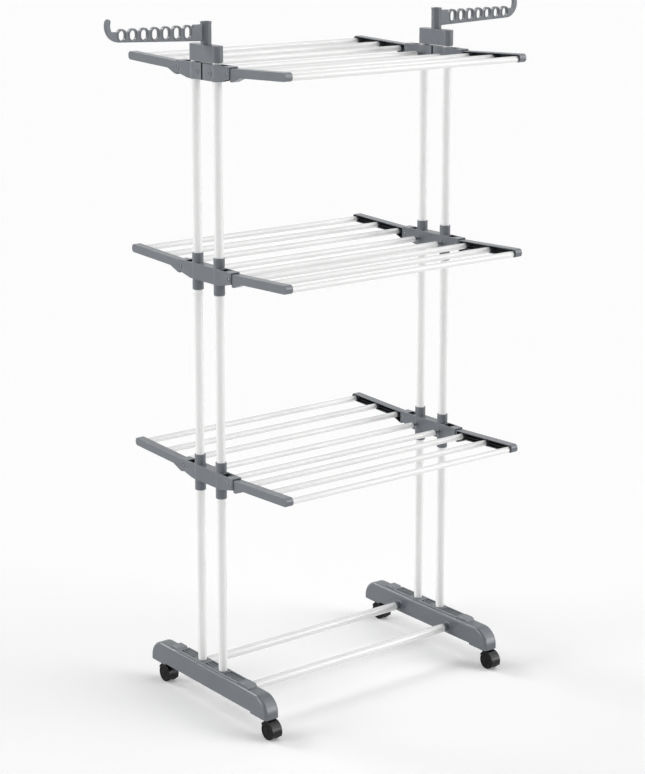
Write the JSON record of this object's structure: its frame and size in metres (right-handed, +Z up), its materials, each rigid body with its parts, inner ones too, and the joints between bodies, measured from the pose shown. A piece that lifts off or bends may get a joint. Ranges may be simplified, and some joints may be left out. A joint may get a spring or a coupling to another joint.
{
  "type": "vertical clothes drying rack",
  "caption": "Tall clothes drying rack on casters: towers of poles carry tiers of bars on folding wings, with swivelling hanger arms at the top.",
  "frame": {"origin": "on the floor, under the middle of the rack", "axes": "+Z up, X along the bars from one tower to the other, -Y towards the front wings"},
  "size_m": [1.2438, 0.6368, 1.697],
  "materials": {
    "base_rod_back": "white powder-coated steel tube, satin gloss",
    "base_rod_front": "white powder-coated steel tube, satin gloss",
    "caster_back_left_hood": "black moulded plastic, soft gloss",
    "caster_back_left_wheels": "black hard plastic wheel, dull",
    "caster_back_right_hood": "black moulded plastic, soft gloss",
    "caster_back_right_wheels": "black hard plastic wheel, dull",
    "caster_front_left_hood": "black moulded plastic, soft gloss",
    "caster_front_left_wheels": "black hard plastic wheel, dull",
    "caster_front_right_hood": "black moulded plastic, soft gloss",
    "caster_front_right_wheels": "black hard plastic wheel, dull",
    "foot_left": "mid-grey moulded plastic, fine satin",
    "foot_right": "mid-grey moulded plastic, fine satin",
    "hook_arm_left": "mid-grey moulded plastic, fine satin",
    "hook_arm_right": "mid-grey moulded plastic, fine satin",
    "hub_lower_left": "mid-grey moulded plastic, fine satin",
    "hub_lower_right": "mid-grey moulded plastic, fine satin",
    "hub_middle_left": "mid-grey moulded plastic, fine satin",
    "hub_middle_right": "mid-grey moulded plastic, fine satin",
    "hub_upper_left": "mid-grey moulded plastic, fine satin",
    "hub_upper_right": "mid-grey moulded plastic, fine satin",
    "mast_left": "white powder-coated steel tube, satin gloss",
    "mast_right": "white powder-coated steel tube, satin gloss",
    "middle_bar_lower_back": "white powder-coated steel tube, satin gloss",
    "middle_bar_lower_front": "white powder-coated steel tube, satin gloss",
    "middle_bar_middle_back": "white powder-coated steel tube, satin gloss",
    "middle_bar_middle_front": "white powder-coated steel tube, satin gloss",
    "middle_bar_upper_back": "white powder-coated steel tube, satin gloss",
    "middle_bar_upper_front": "white powder-coated steel tube, satin gloss",
    "top_block_left": "mid-grey moulded plastic, fine satin",
    "top_block_right": "mid-grey moulded plastic, fine satin",
    "wing_lower_back_bar_1": "white powder-coated steel tube, satin gloss",
    "wing_lower_back_bar_2": "white powder-coated steel tube, satin gloss",
    "wing_lower_back_bar_3": "white powder-coated steel tube, satin gloss",
    "wing_lower_back_bracket_left": "mid-grey moulded plastic, fine satin",
    "wing_lower_back_bracket_right": "mid-grey moulded plastic, fine satin",
    "wing_lower_front_bar_1": "white powder-coated steel tube, satin gloss",
    "wing_lower_front_bar_2": "white powder-coated steel tube, satin gloss",
    "wing_lower_front_bar_3": "white powder-coated steel tube, satin gloss",
    "wing_lower_front_bracket_left": "mid-grey moulded plastic, fine satin",
    "wing_lower_front_bracket_right": "mid-grey moulded plastic, fine satin",
    "wing_middle_back_bar_1": "white powder-coated steel tube, satin gloss",
    "wing_middle_back_bar_2": "white powder-coated steel tube, satin gloss",
    "wing_middle_back_bar_3": "white powder-coated steel tube, satin gloss",
    "wing_middle_back_bracket_left": "mid-grey moulded plastic, fine satin",
    "wing_middle_back_bracket_right": "mid-grey moulded plastic, fine satin",
    "wing_middle_front_bar_1": "white powder-coated steel tube, satin gloss",
    "wing_middle_front_bar_2": "white powder-coated steel tube, satin gloss",
    "wing_middle_front_bar_3": "white powder-coated steel tube, satin gloss",
    "wing_middle_front_bracket_left": "mid-grey moulded plastic, fine satin",
    "wing_middle_front_bracket_right": "mid-grey moulded plastic, fine satin",
    "wing_upper_back_bar_1": "white powder-coated steel tube, satin gloss",
    "wing_upper_back_bar_2": "white powder-coated steel tube, satin gloss",
    "wing_upper_back_bar_3": "white powder-coated steel tube, satin gloss",
    "wing_upper_back_bracket_left": "mid-grey moulded plastic, fine satin",
    "wing_upper_back_bracket_right": "mid-grey moulded plastic, fine satin",
    "wing_upper_front_bar_1": "white powder-coated steel tube, satin gloss",
    "wing_upper_front_bar_2": "white powder-coated steel tube, satin gloss",
    "wing_upper_front_bar_3": "white powder-coated steel tube, satin gloss",
    "wing_upper_front_bracket_left": "mid-grey moulded plastic, fine satin",
    "wing_upper_front_bracket_right": "mid-grey moulded plastic, fine satin"
  },
  "bodies": {
    "rack": {"base_rod_front": "base_rod_front", "base_rod_back": "base_rod_back", "foot_left": "foot_left", "mast_left": "mast_left", "top_block_left": "top_block_left", "hub_lower_left": "hub_lower_left", "hub_middle_left": "hub_middle_left", "hub_upper_left": "hub_upper_left", "foot_right": "foot_right", "mast_right": "mast_right", "top_block_right": "top_block_right", "hub_lower_right": "hub_lower_right", "hub_middle_right": "hub_middle_right", "hub_upper_right": "hub_upper_right", "middle_bar_lower_front": "middle_bar_lower_front", "middle_bar_lower_back": "middle_bar_lower_back", "middle_bar_middle_front": "middle_bar_middle_front", "middle_bar_middle_back": "middle_bar_middle_back", "middle_bar_upper_front": "middle_bar_upper_front", "middle_bar_upper_back": "middle_bar_upper_back"},
    "wing_lower_front": {"wing_lower_front_bracket_left": "wing_lower_front_bracket_left", "wing_lower_front_bracket_right": "wing_lower_front_bracket_right", "wing_lower_front_bar_1": "wing_lower_front_bar_1", "wing_lower_front_bar_2": "wing_lower_front_bar_2", "wing_lower_front_bar_3": "wing_lower_front_bar_3"},
    "wing_lower_back": {"wing_lower_back_bracket_left": "wing_lower_back_bracket_left", "wing_lower_back_bracket_right": "wing_lower_back_bracket_right", "wing_lower_back_bar_1": "wing_lower_back_bar_1", "wing_lower_back_bar_2": "wing_lower_back_bar_2", "wing_lower_back_bar_3": "wing_lower_back_bar_3"},
    "wing_middle_front": {"wing_middle_front_bracket_left": "wing_middle_front_bracket_left", "wing_middle_front_bracket_right": "wing_middle_front_bracket_right", "wing_middle_front_bar_1": "wing_middle_front_bar_1", "wing_middle_front_bar_2": "wing_middle_front_bar_2", "wing_middle_front_bar_3": "wing_middle_front_bar_3"},
    "wing_middle_back": {"wing_middle_back_bracket_left": "wing_middle_back_bracket_left", "wing_middle_back_bracket_right": "wing_middle_back_bracket_right", "wing_middle_back_bar_1": "wing_middle_back_bar_1", "wing_middle_back_bar_2": "wing_middle_back_bar_2", "wing_middle_back_bar_3": "wing_middle_back_bar_3"},
    "wing_upper_front": {"wing_upper_front_bracket_left": "wing_upper_front_bracket_left", "wing_upper_front_bracket_right": "wing_upper_front_bracket_right", "wing_upper_front_bar_1": "wing_upper_front_bar_1", "wing_upper_front_bar_2": "wing_upper_front_bar_2", "wing_upper_front_bar_3": "wing_upper_front_bar_3"},
    "wing_upper_back": {"wing_upper_back_bracket_left": "wing_upper_back_bracket_left", "wing_upper_back_bracket_right": "wing_upper_back_bracket_right", "wing_upper_back_bar_1": "wing_upper_back_bar_1", "wing_upper_back_bar_2": "wing_upper_back_bar_2", "wing_upper_back_bar_3": "wing_upper_back_bar_3"},
    "hook_arm_left": {"hook_arm_left": "hook_arm_left"},
    "hook_arm_right": {"hook_arm_right": "hook_arm_right"},
    "caster_front_left_hood": {"caster_front_left_hood": "caster_front_left_hood"},
    "caster_front_left_wheels": {"caster_front_left_wheels": "caster_front_left_wheels"},
    "caster_front_right_hood": {"caster_front_right_hood": "caster_front_right_hood"},
    "caster_front_right_wheels": {"caster_front_right_wheels": "caster_front_right_wheels"},
    "caster_back_left_hood": {"caster_back_left_hood": "caster_back_left_hood"},
    "caster_back_left_wheels": {"caster_back_left_wheels": "caster_back_left_wheels"},
    "caster_back_right_hood": {"caster_back_right_hood": "caster_back_right_hood"},
    "caster_back_right_wheels": {"caster_back_right_wheels": "caster_back_right_wheels"}
  },
  "joints": [
    {"name": "wing_lower_front_fold", "type": "hinge", "parent": "rack", "child": "wing_lower_front", "pos_m": [0, -0.1, 0.5956], "axis": [1, 0, 0], "range_deg": [0, 90]},
    {"name": "wing_lower_back_fold", "type": "hinge", "parent": "rack", "child": "wing_lower_back", "pos_m": [0, 0.1, 0.5956], "axis": [-1, 0, 0], "range_deg": [0, 90]},
    {"name": "wing_middle_front_fold", "type": "hinge", "parent": "rack", "child": "wing_middle_front", "pos_m": [0, -0.1, 1.0926], "axis": [1, 0, 0], "range_deg": [0, 90]},
    {"name": "wing_middle_back_fold", "type": "hinge", "parent": "rack", "child": "wing_middle_back", "pos_m": [0, 0.1, 1.0926], "axis": [-1, 0, 0], "range_deg": [0, 90]},
    {"name": "wing_upper_front_fold", "type": "hinge", "parent": "rack", "child": "wing_upper_front", "pos_m": [0, -0.1, 1.5681], "axis": [1, 0, 0], "range_deg": [0, 90]},
    {"name": "wing_upper_back_fold", "type": "hinge", "parent": "rack", "child": "wing_upper_back", "pos_m": [0, 0.1, 1.5681], "axis": [-1, 0, 0], "range_deg": [0, 90]},
    {"name": "hook_arm_left_swivel", "type": "hinge", "parent": "rack", "child": "hook_arm_left", "pos_m": [-0.35, 0, 1.6273], "axis": [0, 0, 1], "range_deg": [-180, 180]},
    {"name": "hook_arm_right_swivel", "type": "hinge", "parent": "rack", "child": "hook_arm_right", "pos_m": [0.35, 0, 1.6273], "axis": [0, 0, 1], "range_deg": [-180, 180]},
    {"name": "caster_front_left_swivel", "type": "hinge", "parent": "rack", "child": "caster_front_left_hood", "pos_m": [-0.35, -0.22, 0.04978], "axis": [0, 0, 1], "continuous": true},
    {"name": "caster_front_left_roll", "type": "hinge", "parent": "caster_front_left_hood", "child": "caster_front_left_wheels", "pos_m": [-0.35, -0.242, 0.022], "axis": [1, 0, 0], "continuous": true},
    {"name": "caster_front_right_swivel", "type": "hinge", "parent": "rack", "child": "caster_front_right_hood", "pos_m": [0.35, -0.22, 0.04978], "axis": [0, 0, 1], "continuous": true},
    {"name": "caster_front_right_roll", "type": "hinge", "parent": "caster_front_right_hood", "child": "caster_front_right_wheels", "pos_m": [0.35, -0.242, 0.022], "axis": [1, 0, 0], "continuous": true},
    {"name": "caster_back_left_swivel", "type": "hinge", "parent": "rack", "child": "caster_back_left_hood", "pos_m": [-0.35, 0.22, 0.04978], "axis": [0, 0, 1], "continuous": true},
    {"name": "caster_back_left_roll", "type": "hinge", "parent": "caster_back_left_hood", "child": "caster_back_left_wheels", "pos_m": [-0.35, 0.198, 0.022], "axis": [1, 0, 0], "continuous": true},
    {"name": "caster_back_right_swivel", "type": "hinge", "parent": "rack", "child": "caster_back_right_hood", "pos_m": [0.35, 0.22, 0.04978], "axis": [0, 0, 1], "continuous": true},
    {"name": "caster_back_right_roll", "type": "hinge", "parent": "caster_back_right_hood", "child": "caster_back_right_wheels", "pos_m": [0.35, 0.198, 0.022], "axis": [1, 0, 0], "continuous": true}
  ]
}
